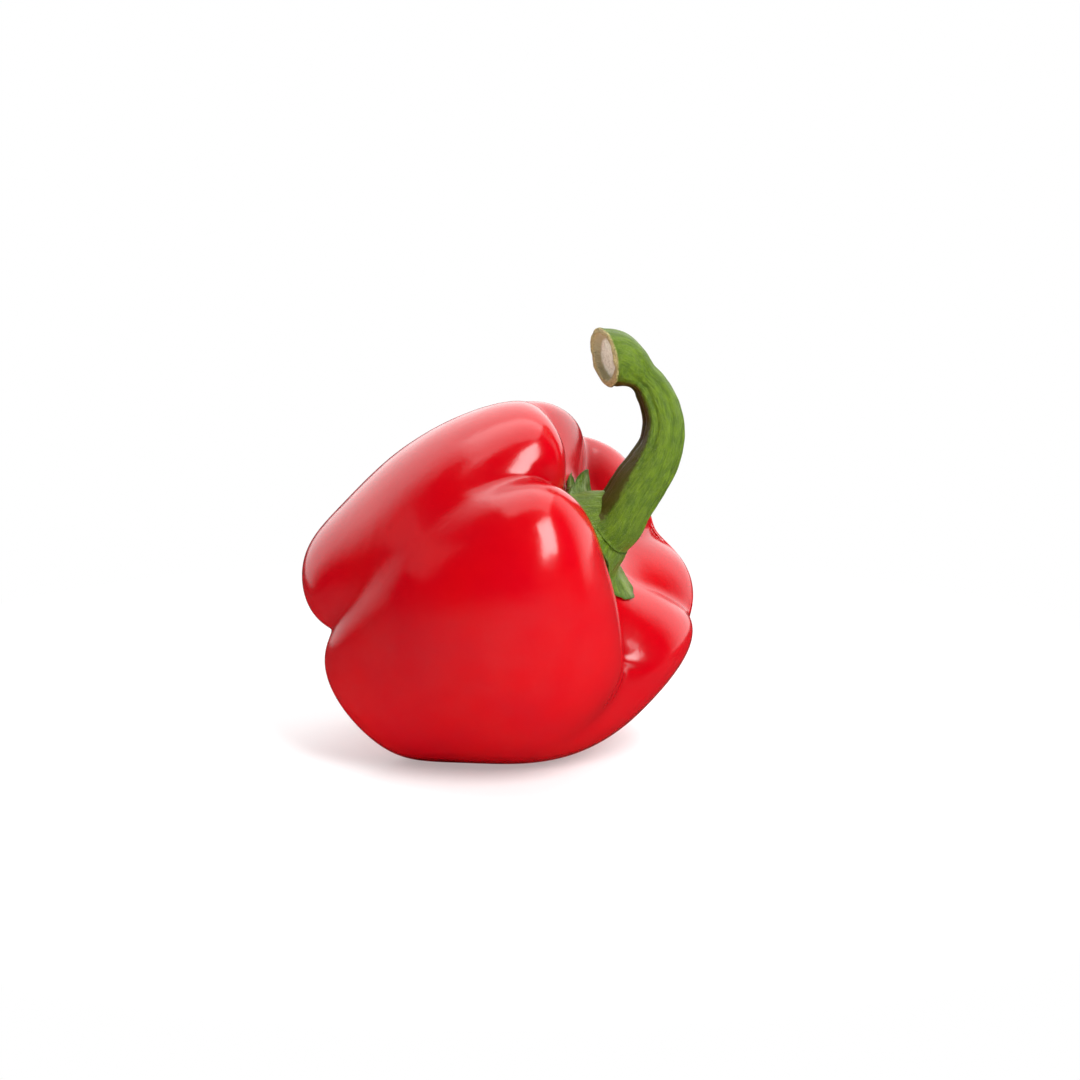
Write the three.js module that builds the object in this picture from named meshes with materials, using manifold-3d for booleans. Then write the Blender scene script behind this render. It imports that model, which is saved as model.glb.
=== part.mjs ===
// A large red bell pepper lying on its side, in millimetres, +Z up.
// It is shaped upright about its own axis, stem end up, and then laid down: the stem end
// points along +X and upward. The origin is at the middle of its footprint, on the surface.
import * as THREE from 'three';
import Module from 'manifold-3d';
import { mergeVertices } from 'three/addons/utils/BufferGeometryUtils.js';

// Pose: how far the stem end rises above the horizontal, and where the pepper rests.
const AXIS_RISE = 32;
const RESTING_LEVEL = -37.7;

// The fruit, measured from the middle of its axis. Angles run round the axis, in degrees;
// 0 is the side that lies uppermost.
const CAVITY_FLOOR = 28;
const DIMPLE_FLOOR = 31;
const BOW_UP = 1.4;
const BOW_SIDE = 1;
const BOW_REACH = 40;

// The shoulders round the stem: height of the crest, its distance from the axis, and how
// far the outer corner bulges.
const SHOULDERS = [
  { at: 36, crest: 38.1, rim: 27.9, corner: -2.5 },
  { at: 74, crest: 37.5, rim: 22.2, corner: 2.8 },
  { at: 117, crest: 30.7, rim: 15.4, corner: 0.2 },
  { at: 182, crest: 30.4, rim: 30.5, corner: 0.5 },
  { at: 232, crest: 36.3, rim: 37.5, corner: 4.3 },
  { at: 290, crest: 35, rim: 36, corner: 0.9 },
  { at: 337, crest: 30.6, rim: 32.6, corner: 1 },
];
// The widest radius round the belly.
const BELLIES = [
  { at: 16, radius: 42.3 },
  { at: 119, radius: 44.5 },
  { at: 175, radius: 41.3 },
  { at: 246, radius: 45.5 },
];
// The feet of the three main lobes: how far down each reaches, and how far out.
const FEET = [
  { at: 16, foot: 34.8, toe: 35.9 },
  { at: 119, foot: 38, toe: 30 },
  { at: 246, foot: 39.1, toe: 28.8 },
];
const SHOULDER_FOCUS = 5;
const LOBE_FOCUS = 4;

// The creases between the lobes: the angle at the stem end and at the blossom end, then
// the depth and the half width in degrees near the stem, midway and near the foot.
const CREASES = [
  { from: 45, to: 62, depth: [8.1, 2, 6.3], width: [11, 25, 7.5] },
  { from: 164, to: 135, depth: [12, 0, 0], width: [16, 20, 14] },
  { from: 222, to: 173, depth: [4.9, 1.4, 9.5], width: [12.5, 25, 19] },
  { from: 258, to: 262, depth: [8.9, 0, 0], width: [16, 20, 14] },
  { from: 306.5, to: 336.5, depth: [6.1, 1.5, 9], width: [11, 25, 22] },
  { from: 346, to: 362, depth: [2.6, 0.5, 0], width: [10.6, 20, 14] },
];
const CREASE_ROUNDING = 0.25;

// Calyx: a collar under the stem that thins to a pointed frill on the cavity floor.
const CALYX_RADIUS = 11;
const CALYX_POINT = 2.5;
const CALYX_POINTS = 6;
const CALYX_EDGE = 1;
const COLLAR_RADIUS = 7.2;
const COLLAR_RISE = 6;
const GAP = 0.3;

// Stem: its centre line from the collar to the cut end, and its radius along the way.
const STEM_PATH = [
  [2.1, -0.2, 35.4],
  [2.1, -0.2, 36.4],
  [4, -0.8, 39.4],
  [6.5, -2.2, 43.5],
  [9.2, -3.8, 48.8],
  [12.2, -5.1, 52.8],
  [16.2, -6.3, 55.7],
  [21, -7, 57.1],
  [25.2, -7.1, 57.3],
  [28.4, -6.6, 56.7],
  [31.8, -5.5, 56],
  [35.1, -4, 54.8],
  [37.2, -2.5, 52.7],
];
const STEM_RADII = [6.6, 6.6, 6.5, 6.4, 6.1, 5.5, 5.1, 4.7, 4.4, 4.2, 5.6, 6.6, 6.6];
const STEM_RIDGES = 6;
const RIDGE_HEIGHT = 0.3;
const PITH_RADIUS = 0.78;
const PITH_DEPTH = 0.9;

// How finely the surfaces are divided.
const FRUIT_AROUND = 80;
const FRUIT_ALONG = 44;
const CALYX_AROUND = 60;
const CALYX_ACROSS = 7;
const STEM_AROUND = 24;
const STEM_ALONG = 30;

const radians = THREE.MathUtils.degToRad;

// A uniform cubic B-spline and its slope, for a control row that mirrors at both ends, so
// that the fruit closes smoothly at its two poles.
function splineWeights(f) {
  return [
    (1 - f) ** 3 / 6,
    (3 * f ** 3 - 6 * f ** 2 + 4) / 6,
    (-3 * f ** 3 + 3 * f ** 2 + 3 * f + 1) / 6,
    f ** 3 / 6,
  ];
}

function slopeWeights(f) {
  return [
    -((1 - f) ** 2) / 2,
    (3 * f ** 2 - 4 * f) / 2,
    (-3 * f ** 2 + 2 * f + 1) / 2,
    f ** 2 / 2,
  ];
}

function spline(row, t, weights, mirror = 1) {
  const last = row.length - 1;
  const cell = Math.min(Math.floor(t), last - 1);
  let sum = 0;
  weights(t - cell).forEach((weight, k) => {
    const i = cell - 1 + k;
    if (i < 0) sum += weight * mirror * row[-i];
    else if (i > last) sum += weight * mirror * row[2 * last - i];
    else sum += weight * row[i];
  });
  return sum;
}

// A dimension that passes smoothly from one lobe to the next round the axis.
function around(items, name, angle, focus) {
  let total = 0;
  let weights = 0;
  for (const item of items) {
    const weight = Math.exp(focus * (Math.cos(angle - radians(item.at)) - 1));
    total += weight * item[name];
    weights += weight;
  }
  return total / weights;
}

// Control rows of one meridian, from the cavity floor over the shoulder and the belly to
// the blossom end's dimple: distance from the axis and height.
function meridian(angle) {
  const crest = around(SHOULDERS, 'crest', angle, SHOULDER_FOCUS);
  const rim = around(SHOULDERS, 'rim', angle, SHOULDER_FOCUS);
  const corner = around(SHOULDERS, 'corner', angle, SHOULDER_FOCUS);
  const belly = around(BELLIES, 'radius', angle, LOBE_FOCUS);
  const foot = around(FEET, 'foot', angle, LOBE_FOCUS);
  const toe = around(FEET, 'toe', angle, LOBE_FOCUS);
  const radius = [
    0, 0.45 * rim, 0.62 * rim, 0.92 * rim, 0.3 * rim + 0.7 * belly + 0.6 * corner,
    1.04 * belly + 0.3 * corner, 1.06 * belly, 0.35 * belly + 0.72 * toe, toe,
    0.5 * toe, 0.18 * toe, 0,
  ];
  const height = [
    CAVITY_FLOOR, CAVITY_FLOOR, 0.3 * CAVITY_FLOOR + 0.7 * crest, 1.1 * crest,
    crest + 0.7 * corner, 0.52 * crest + 0.9 * corner, -0.05 * foot, -0.61 * foot, -1.09 * foot, -1.02 * foot, -DIMPLE_FLOOR, -DIMPLE_FLOOR,
  ];
  return { radius, height };
}

// Control rows of one crease along the meridian: its depth, angle and half width.
function creaseRows({ from, to, depth, width }) {
  const [stem, middle, foot] = depth;
  const [top, half, bottom] = width;
  return {
    depth: [
      0, 0.15 * stem, 0.6 * stem, stem, 0.85 * stem + 0.15 * middle, 0.35 * stem + 0.65 * middle,
      middle, 0.45 * middle + 0.55 * foot, foot, 0.7 * foot, 0.15 * foot, 0,
    ],
    angle: [
      from, from, from, from, from, 0.75 * from + 0.25 * to, 0.4 * from + 0.6 * to,
      to, to, to, to, to,
    ],
    width: [
      1.6 * top, 1.4 * top, top, top, top, (top + half) / 2,
      half, (half + bottom) / 2, bottom, 1.3 * bottom, 2 * bottom, 2 * bottom,
    ],
  };
}

const CREASE_ROWS = CREASES.map(creaseRows);

function creaseDepth(angle, t) {
  let depth = 0;
  for (const rows of CREASE_ROWS) {
    const centre = radians(spline(rows.angle, t, splineWeights));
    const width = radians(spline(rows.width, t, splineWeights));
    const turn = Math.atan2(Math.sin(angle - centre), Math.cos(angle - centre)) / width;
    const fall = Math.exp(CREASE_ROUNDING - Math.hypot(turn, CREASE_ROUNDING));
    depth += spline(rows.depth, t, splineWeights) * fall;
  }
  return depth;
}

// A point of the fruit's skin, or of a layer that lies a given height over it.
function skinPoint(angle, t, over = 0) {
  const { radius, height } = meridian(angle);
  const out = spline(radius, t, slopeWeights, -1);
  const up = spline(height, t, slopeWeights);
  const length = Math.hypot(out, up);
  const lift = over - creaseDepth(angle, t);
  const reach = Math.max(spline(radius, t, splineWeights, -1) - (lift * up) / length, 0);
  const level = spline(height, t, splineWeights) + (lift * out) / length;
  const bow = (level / BOW_REACH) ** 2;
  return new THREE.Vector3(
    reach * Math.cos(angle) + BOW_UP * bow,
    reach * Math.sin(angle) + BOW_SIDE * bow,
    level,
  );
}

function turns(count) {
  return Array.from({ length: count }, (_, k) => (2 * Math.PI * k) / count);
}

// A closed surface: a point, rings of equal length that run anticlockwise seen from that
// point, and a second point.
function closedSurface(start, rings, end) {
  const count = rings[0].length;
  const points = [start, ...rings.flat(), end];
  const at = (ring, k) => 1 + ring * count + (k % count);
  const index = [];
  for (let k = 0; k < count; k++) {
    index.push(0, at(0, k), at(0, k + 1));
    for (let ring = 0; ring < rings.length - 1; ring++) {
      const [a, b] = [at(ring, k), at(ring + 1, k)];
      const [c, d] = [at(ring + 1, k + 1), at(ring, k + 1)];
      index.push(a, b, c, a, c, d);
    }
    index.push(points.length - 1, at(rings.length - 1, k + 1), at(rings.length - 1, k));
  }
  const geometry = new THREE.BufferGeometry();
  geometry.setAttribute('position', new THREE.Float32BufferAttribute(points.flatMap((p) => [...p]), 3));
  geometry.setIndex(index);
  return geometry;
}

function fruitGeometry() {
  const span = CREASE_ROWS[0].depth.length - 1;
  const angles = turns(FRUIT_AROUND);
  const rings = [];
  for (let step = 1; step < FRUIT_ALONG; step++) {
    rings.push(angles.map((angle) => skinPoint(angle, (span * step) / FRUIT_ALONG)));
  }
  return closedSurface(skinPoint(0, 0), rings, skinPoint(0, span));
}

// The place along the meridian where the cavity floor reaches a given distance from the axis.
function cavityPlace(angle, distance) {
  const { radius } = meridian(angle);
  let [low, high] = [0, 3];
  for (let pass = 0; pass < 30; pass++) {
    const middle = (low + high) / 2;
    if (spline(radius, middle, splineWeights, -1) < distance) low = middle;
    else high = middle;
  }
  return low;
}

function calyxThickness(distance) {
  const flank = THREE.MathUtils.smoothstep(distance, COLLAR_RADIUS, CALYX_RADIUS + CALYX_POINT);
  return CALYX_EDGE + (COLLAR_RISE - CALYX_EDGE) * (1 - flank) ** 2;
}

function calyxGeometry() {
  const angles = turns(CALYX_AROUND);
  const rimAt = (angle) => CALYX_RADIUS + CALYX_POINT * Math.cos((CALYX_POINTS * angle) / 2) ** 6;
  const ring = (share, layer) => angles.map((angle) => {
    const distance = share * rimAt(angle);
    return skinPoint(angle, cavityPlace(angle, distance), layer(distance));
  });
  const top = [];
  const bottom = [];
  for (let step = 1; step <= CALYX_ACROSS; step++) {
    const share = step / CALYX_ACROSS;
    top.push(ring(share, (distance) => GAP + calyxThickness(distance)));
    bottom.unshift(ring(share, () => GAP));
  }
  const crown = skinPoint(0, 0, GAP + COLLAR_RISE);
  return closedSurface(crown, [...top, ...bottom], skinPoint(0, 0, GAP));
}

// Circle of the stem at a place along its path, with shallow ridges, square to the path.
function stemRing(path, frames, step, scale = 1, sink = 0) {
  const share = step / STEM_ALONG;
  const place = share * (STEM_RADII.length - 1);
  const cell = Math.min(Math.floor(place), STEM_RADII.length - 2);
  const radius = THREE.MathUtils.lerp(STEM_RADII[cell], STEM_RADII[cell + 1], place - cell);
  const centre = path.getPoint(share).addScaledVector(frames.tangents[step], -sink);
  return turns(STEM_AROUND).map((angle) => {
    const ridge = RIDGE_HEIGHT * Math.cos(STEM_RIDGES * angle);
    return centre.clone()
      .addScaledVector(frames.normals[step], scale * (radius + ridge) * Math.cos(angle))
      .addScaledVector(frames.binormals[step], scale * (radius + ridge) * Math.sin(angle));
  });
}

function stemGeometry() {
  const path = new THREE.CatmullRomCurve3(STEM_PATH.map((p) => new THREE.Vector3(...p)));
  path.curveType = 'catmullrom';
  const frames = path.computeFrenetFrames(STEM_ALONG);
  const rings = [stemRing(path, frames, STEM_ALONG, PITH_RADIUS, PITH_DEPTH)];
  for (let step = STEM_ALONG; step >= 0; step--) rings.push(stemRing(path, frames, step));
  const tip = path.getPoint(1).addScaledVector(frames.tangents[STEM_ALONG], -PITH_DEPTH);
  return closedSurface(tip, rings, path.getPoint(0));
}

// Turns the upright pepper onto its side: its axis rises toward +X by the given angle.
function lay(geometry) {
  const rise = radians(AXIS_RISE);
  const up = new THREE.Vector3(-Math.sin(rise), 0, Math.cos(rise));
  const side = new THREE.Vector3(0, -1, 0);
  const axis = new THREE.Vector3(Math.cos(rise), 0, Math.sin(rise));
  return geometry.applyMatrix4(new THREE.Matrix4().makeBasis(up, side, axis));
}

const wasm = await Module();
wasm.setup();

function toSolid(geometry) {
  const plain = geometry.index ? geometry.clone() : geometry;
  plain.deleteAttribute('normal');
  plain.deleteAttribute('uv');
  const merged = mergeVertices(plain, 1e-4);
  return new wasm.Manifold(new wasm.Mesh({
    numProp: 3,
    vertProperties: new Float32Array(merged.attributes.position.array),
    triVerts: new Uint32Array(merged.index.array),
  }));
}

function toGeometry(solid) {
  const mesh = solid.getMesh();
  const geometry = new THREE.BufferGeometry();
  geometry.setAttribute('position', new THREE.BufferAttribute(mesh.vertProperties, 3));
  geometry.setIndex(new THREE.BufferAttribute(mesh.triVerts, 1));
  return geometry;
}

// The small flat that the fruit rests on is cut where it meets the surface.
function restFlat(geometry) {
  const size = 200;
  const surface = new THREE.BoxGeometry(size, size, size);
  surface.translate(0, 0, RESTING_LEVEL - size / 2);
  return toGeometry(toSolid(geometry).subtract(toSolid(surface)));
}

function piece(name, geometry, colour, roughness) {
  geometry.computeVertexNormals();
  const material = new THREE.MeshStandardMaterial({ color: colour, roughness, metalness: 0 });
  const mesh = new THREE.Mesh(geometry, material);
  mesh.name = name;
  return mesh;
}

const pepper = new THREE.Group();
pepper.name = 'bell_pepper';
pepper.add(piece('fruit', restFlat(lay(fruitGeometry())), 0xc80a0a, 0.15));
pepper.add(piece('calyx', lay(calyxGeometry()), 0x4f7a2a, 0.55));
pepper.add(piece('stem', lay(stemGeometry()), 0x5c8a2c, 0.55));

const bounds = new THREE.Box3().setFromObject(pepper);
const middle = bounds.getCenter(new THREE.Vector3());
pepper.position.set(-middle.x, -middle.y, -bounds.min.z);

export default pepper;
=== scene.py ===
import math

import bmesh
import bpy
from bpy.props import FloatProperty, FloatVectorProperty, IntProperty, PointerProperty
from mathutils import Matrix, Vector, noise


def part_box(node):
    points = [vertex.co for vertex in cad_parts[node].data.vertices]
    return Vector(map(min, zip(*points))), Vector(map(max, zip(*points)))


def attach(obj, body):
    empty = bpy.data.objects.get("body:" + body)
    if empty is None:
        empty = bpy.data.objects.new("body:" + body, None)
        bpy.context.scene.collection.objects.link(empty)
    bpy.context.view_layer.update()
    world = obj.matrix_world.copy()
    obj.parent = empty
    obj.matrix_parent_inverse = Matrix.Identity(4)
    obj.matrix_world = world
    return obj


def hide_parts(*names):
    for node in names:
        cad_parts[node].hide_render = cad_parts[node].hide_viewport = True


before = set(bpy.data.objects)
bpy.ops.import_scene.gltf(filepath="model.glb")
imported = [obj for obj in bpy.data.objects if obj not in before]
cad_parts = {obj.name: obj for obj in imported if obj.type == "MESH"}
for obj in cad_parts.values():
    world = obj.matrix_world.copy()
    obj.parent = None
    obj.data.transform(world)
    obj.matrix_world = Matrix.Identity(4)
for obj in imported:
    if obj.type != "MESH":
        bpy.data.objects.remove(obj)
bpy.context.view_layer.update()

bl_info = {
    "name": "Bell pepper",
    "version": (1, 0, 0),
    "blender": (4, 5, 0),
    "location": "3D View > Sidebar > Pepper",
    "description": "A red bell pepper lying on its side, with its calyx and hooked stem",
    "category": "Add Mesh",
}


# ---------------------------------------------------------------- sizes and colours

class FruitSettings(bpy.types.PropertyGroup):
    """The fruit about its own axis: angles run round the axis, 0 on the uppermost side."""
    axis_rise: FloatProperty(
        name="Axis rise", description="How far the stem end points above the horizontal",
        default=math.radians(32), subtype="ANGLE")
    resting_depth: FloatProperty(
        name="Resting depth", description="Middle of the axis above the surface it lies on",
        default=0.0377, unit="LENGTH", precision=4)
    cavity_floor: FloatProperty(
        name="Cavity floor", description="Height of the stem cavity's floor",
        default=0.028, unit="LENGTH", precision=4)
    dimple_floor: FloatProperty(
        name="Dimple floor", description="Depth of the dimple at the blossom end",
        default=0.031, unit="LENGTH", precision=4)
    bow: FloatVectorProperty(
        name="Bow", description="How far each end bends up and to the side, 40 mm out",
        size=2, default=(0.0014, 0.001), unit="LENGTH", precision=4)
    shoulder_angle: FloatVectorProperty(
        name="Shoulder angles", description="Where the shoulders round the stem stand",
        size=7, default=[math.radians(a) for a in (36, 74, 117, 182, 232, 290, 337)],
        unit="ROTATION")
    shoulder_crest: FloatVectorProperty(
        name="Shoulder crests", description="Height of each shoulder's crest",
        size=7, default=(0.0381, 0.0375, 0.0307, 0.0304, 0.0363, 0.035, 0.0306), unit="LENGTH")
    shoulder_rim: FloatVectorProperty(
        name="Shoulder rims", description="Distance of each crest from the axis",
        size=7, default=(0.0279, 0.0222, 0.0154, 0.0305, 0.0375, 0.036, 0.0326), unit="LENGTH")
    shoulder_corner: FloatVectorProperty(
        name="Shoulder corners", description="How far each shoulder's outer corner bulges",
        size=7, default=(-0.0025, 0.0028, 0.0002, 0.0005, 0.0043, 0.0009, 0.001), unit="LENGTH")
    belly_angle: FloatVectorProperty(
        name="Belly angles", description="Where the belly's radius is given",
        size=4, default=[math.radians(a) for a in (16, 119, 175, 246)], unit="ROTATION")
    belly: FloatVectorProperty(
        name="Belly", description="Widest radius round the belly",
        size=4, default=(0.0423, 0.0445, 0.0413, 0.0455), unit="LENGTH")
    foot_angle: FloatVectorProperty(
        name="Foot angles", description="Where the feet of the three main lobes stand",
        size=3, default=[math.radians(a) for a in (16, 119, 246)], unit="ROTATION")
    foot: FloatVectorProperty(
        name="Feet", description="How far each foot reaches down",
        size=3, default=(0.0348, 0.038, 0.0391), unit="LENGTH")
    toe: FloatVectorProperty(
        name="Toes", description="Distance of each foot from the axis",
        size=3, default=(0.0359, 0.03, 0.0288), unit="LENGTH")
    crease_from: FloatVectorProperty(
        name="Creases at the stem", description="Angle of each crease at the stem end",
        size=6, default=[math.radians(a) for a in (45, 164, 222, 258, 306.5, 346)],
        unit="ROTATION")
    crease_to: FloatVectorProperty(
        name="Creases at the blossom end", description="Angle of each crease at the foot",
        size=6, default=[math.radians(a) for a in (62, 135, 173, 262, 336.5, 362)],
        unit="ROTATION")
    columns: IntProperty(
        name="Columns", description="Divisions round the fruit", default=288, min=24)
    rows: IntProperty(
        name="Rows", description="Divisions from the cavity to the dimple", default=176, min=16)
    colour: FloatVectorProperty(
        name="Skin", description="Ripe red of the skin",
        size=3, default=(0.40, 0.0003, 0.0045), subtype="COLOR", min=0, max=1)
    warm_colour: FloatVectorProperty(
        name="Warm skin", description="Slightly warmer red of the skin's mottling",
        size=3, default=(0.43, 0.0012, 0.0035), subtype="COLOR", min=0, max=1)
    # Painted shade: the darker red laid into the folds, where shade falls in the creases.
    fold_shade_colour: FloatVectorProperty(
        name="Deep skin", description="Darker red in the folds",
        size=3, default=(0.32, 0.0, 0.003), subtype="COLOR", min=0, max=1)


class GreenSettings(bpy.types.PropertyGroup):
    """The calyx and the stem."""
    collar_rise: FloatProperty(
        name="Collar rise", description="Thickness of the collar under the stem",
        default=0.006, unit="LENGTH", precision=4)
    green: FloatVectorProperty(
        name="Green", description="Fresh green of the stem",
        size=3, default=(0.100, 0.166, 0.003), subtype="COLOR", min=0, max=1)
    dark_green: FloatVectorProperty(
        name="Dark green", description="Green of the furrows and of the shaded fibres",
        size=3, default=(0.040, 0.082, 0.002), subtype="COLOR", min=0, max=1)
    vein: FloatVectorProperty(
        name="Vein", description="Pale green along the sepals' midribs",
        size=3, default=(0.22, 0.26, 0.10), subtype="COLOR", min=0, max=1)
    leaf_edge: FloatVectorProperty(
        name="Leaf edge", description="Dark green of the sepals' thin edges",
        size=3, default=(0.02, 0.055, 0.004), subtype="COLOR", min=0, max=1)
    # Partly the stem's own brownish green, partly painted shade on the inside of the stem's bend.
    olive_and_shade: FloatVectorProperty(
        name="Olive", description="Brownish green inside the stem's bend",
        size=3, default=(0.040, 0.032, 0.001), subtype="COLOR", min=0, max=1)
    hair: FloatVectorProperty(
        name="Hair", description="Pale fuzz inside the stem's bend",
        size=3, default=(0.24, 0.22, 0.09), subtype="COLOR", min=0, max=1)
    pith: FloatVectorProperty(
        name="Pith", description="Pale dry pith of the cut end",
        size=3, default=(0.93, 0.90, 0.74), subtype="COLOR", min=0, max=1)
    # Both the pith's own brown mottling and the painted shade of the sunk wall round the pith.
    dark_pith_and_wall_shade: FloatVectorProperty(
        name="Dark pith", description="Brown of the sunk wall round the pith",
        size=3, default=(0.40, 0.34, 0.19), subtype="COLOR", min=0, max=1)
    crust: FloatVectorProperty(
        name="Cut edge", description="Tan of the dried edge round the cut",
        size=3, default=(0.55, 0.45, 0.22), subtype="COLOR", min=0, max=1)
    dark_crust: FloatVectorProperty(
        name="Dark cut edge", description="Brown spots of the dried edge",
        size=3, default=(0.26, 0.18, 0.06), subtype="COLOR", min=0, max=1)


class StageSettings(bpy.types.PropertyGroup):
    """Camera, lights and floor."""
    camera_azimuth: FloatProperty(
        name="Camera azimuth", description="Angle of the camera round the pepper",
        default=math.radians(17), subtype="ANGLE")
    camera_elevation: FloatProperty(
        name="Camera elevation", description="Angle of the camera above the horizon",
        default=math.radians(14), subtype="ANGLE")
    camera_distance: FloatProperty(
        name="Camera distance", description="From the lens to the fruit's middle",
        default=0.975, unit="LENGTH")
    lens: FloatProperty(name="Lens", description="Focal length in millimetres", default=135)
    framing: FloatVectorProperty(
        name="Framing", description="How far right and up of the fruit's middle the view centres",
        size=2, default=(0.0098, 0.0135), unit="LENGTH", precision=4)


# ---------------------------------------------------------------- the fruit's surface

# Each crease: its depth in millimetres, and its half width in degrees, at the stem end, at
# the belly and at the foot.
CREASE_DEPTHS = (
    (8.1, 2, 6.3), (12, 0, 0), (4.9, 1.4, 9.5), (8.9, 0, 0), (6.1, 1.5, 9), (2.6, 0.5, 0))
CREASE_WIDTHS = (
    (11, 25, 7.5), (16, 20, 14), (12.5, 25, 19), (16, 20, 14), (11, 25, 22), (10.6, 20, 14))
CREASE_ROUNDING = 0.25
# How closely a dimension keeps to its own lobe as it passes round the axis.
SHOULDER_FOCUS = 5
LOBE_FOCUS = 4
COLLAR_FOCUS = 3
BOW_REACH = 0.04
MM = 0.001
# A meridian runs from the cavity's middle (0) to the dimple's middle (SPAN).
SPAN = 11
CAVITY_END = 3
HALVINGS = 24


def spline_weights(f):
    """Shares of four neighbouring controls in a cubic B-spline."""
    return (
        (1 - f) ** 3 / 6,
        (3 * f ** 3 - 6 * f ** 2 + 4) / 6,
        (-3 * f ** 3 + 3 * f ** 2 + 3 * f + 1) / 6,
        f ** 3 / 6,
    )


def slope_weights(f):
    """Shares of four neighbouring controls in the spline's slope."""
    return (
        -(1 - f) ** 2 / 2,
        (3 * f ** 2 - 4 * f) / 2,
        (-3 * f ** 2 + 2 * f + 1) / 2,
        f ** 2 / 2,
    )


def spline(row, t, weights=spline_weights, mirror=1):
    """A uniform cubic B-spline, or its slope, for a control row that mirrors at both ends."""
    last = len(row) - 1
    cell = min(int(t), last - 1)
    total = 0
    for k, weight in enumerate(weights(t - cell)):
        i = cell - 1 + k
        if i < 0:
            total += weight * mirror * row[-i]
        elif i > last:
            total += weight * mirror * row[2 * last - i]
        else:
            total += weight * row[i]
    return total


def around(angles, values, angle, focus):
    """A dimension that passes smoothly from one lobe to the next round the axis."""
    weights = [math.exp(focus * (math.cos(angle - a) - 1)) for a in angles]
    return sum(w * v for w, v in zip(weights, values)) / sum(weights)


class Skin:
    """The fruit's surface about its own upright axis, in metres."""

    def __init__(self, settings):
        self.settings = settings
        self.rows = {}
        self.creases = [
            self.crease_rows(start, end, depth, width)
            for start, end, depth, width in zip(
                settings.crease_from, settings.crease_to, CREASE_DEPTHS, CREASE_WIDTHS)
        ]
        self.crease_cache = {}

    def meridian(self, angle):
        """Control rows of one meridian: distance from the axis, and height."""
        key = round(angle, 6)
        if key in self.rows:
            return self.rows[key]
        s = self.settings
        crest = around(s.shoulder_angle, s.shoulder_crest, angle, SHOULDER_FOCUS)
        rim = around(s.shoulder_angle, s.shoulder_rim, angle, SHOULDER_FOCUS)
        corner = around(s.shoulder_angle, s.shoulder_corner, angle, SHOULDER_FOCUS)
        belly = around(s.belly_angle, s.belly, angle, LOBE_FOCUS)
        foot = around(s.foot_angle, s.foot, angle, LOBE_FOCUS)
        toe = around(s.foot_angle, s.toe, angle, LOBE_FOCUS)
        radius = (
            0, 0.45 * rim, 0.62 * rim, 0.92 * rim, 0.3 * rim + 0.7 * belly + 0.6 * corner,
            1.04 * belly + 0.3 * corner, 1.06 * belly, 0.35 * belly + 0.72 * toe, toe,
            0.5 * toe, 0.18 * toe, 0)
        floor = s.cavity_floor
        height = (
            floor, floor, 0.3 * floor + 0.7 * crest, 1.1 * crest, crest + 0.7 * corner,
            0.52 * crest + 0.9 * corner, -0.05 * foot, -0.61 * foot, -1.09 * foot, -1.02 * foot,
            -s.dimple_floor, -s.dimple_floor)
        self.rows[key] = (radius, height)
        return self.rows[key]

    @staticmethod
    def crease_rows(start, end, depth, width):
        """Control rows of one crease along the meridian: depth, angle and half width."""
        stem, middle, foot = (value * MM for value in depth)
        top, half, bottom = (math.radians(value) for value in width)
        depths = (
            0, 0.15 * stem, 0.6 * stem, stem, 0.85 * stem + 0.15 * middle,
            0.35 * stem + 0.65 * middle, middle, 0.45 * middle + 0.55 * foot, foot,
            0.7 * foot, 0.15 * foot, 0)
        angles = (start,) * 5 + (0.75 * start + 0.25 * end, 0.4 * start + 0.6 * end) + (end,) * 5
        widths = (
            1.6 * top, 1.4 * top, top, top, top, (top + half) / 2, half,
            (half + bottom) / 2, bottom, 1.3 * bottom, 2 * bottom, 2 * bottom)
        return depths, angles, widths

    def creases_at(self, t):
        """Depth, angle and half width of every crease at one place along the meridian."""
        key = round(t, 5)
        if key not in self.crease_cache:
            self.crease_cache[key] = [
                tuple(spline(row, t) for row in rows) for rows in self.creases]
        return self.crease_cache[key]

    def crease_depth(self, angle, t):
        """How deep all the creases together lie at one place of the skin."""
        total = 0
        for depth, centre, width in self.creases_at(t):
            turn = math.remainder(angle - centre, math.tau) / width
            total += depth * math.exp(CREASE_ROUNDING - math.hypot(turn, CREASE_ROUNDING))
        return total

    def point(self, angle, t, over=0):
        """A point of the skin, or of a layer that lies some height over it."""
        radius, height = self.meridian(angle)
        out = spline(radius, t, slope_weights, -1)
        up = spline(height, t, slope_weights)
        length = math.hypot(out, up)
        lift = over - self.crease_depth(angle, t)
        reach = max(spline(radius, t, spline_weights, -1) - lift * up / length, 0)
        level = spline(height, t) + lift * out / length
        bend = (level / BOW_REACH) ** 2
        bow_up, bow_side = self.settings.bow
        return Vector((
            reach * math.cos(angle) + bow_up * bend,
            reach * math.sin(angle) + bow_side * bend,
            level))

    def cavity_place(self, angle, distance):
        """Where along the meridian the cavity floor is a given distance from the axis."""
        radius, _ = self.meridian(angle)
        low, high = 0, CAVITY_END
        for _ in range(HALVINGS):
            middle = (low + high) / 2
            if spline(radius, middle, spline_weights, -1) < distance:
                low = middle
            else:
                high = middle
        return low


PLACING_GRID = (72, 48)


def lay_down(skin):
    """The matrix that lays the upright pepper on its side, where the CAD fruit lies."""
    settings = skin.settings
    rise = settings.axis_rise
    turn = Matrix((
        (-math.sin(rise), 0, math.cos(rise)),
        (0, -1, 0),
        (math.cos(rise), 0, math.sin(rise)))).to_4x4()
    columns, rows = PLACING_GRID
    points = [
        turn @ skin.point(math.tau * column / columns, SPAN * row / rows)
        for column in range(columns) for row in range(rows + 1)]
    low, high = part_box("fruit")
    place = Vector((0, 0, settings.resting_depth))
    for axis in range(2):
        values = [point[axis] for point in points]
        place[axis] = (low[axis] + high[axis] - min(values) - max(values)) / 2
    return Matrix.Translation(place) @ turn


# ---------------------------------------------------------------- building pieces

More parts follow.
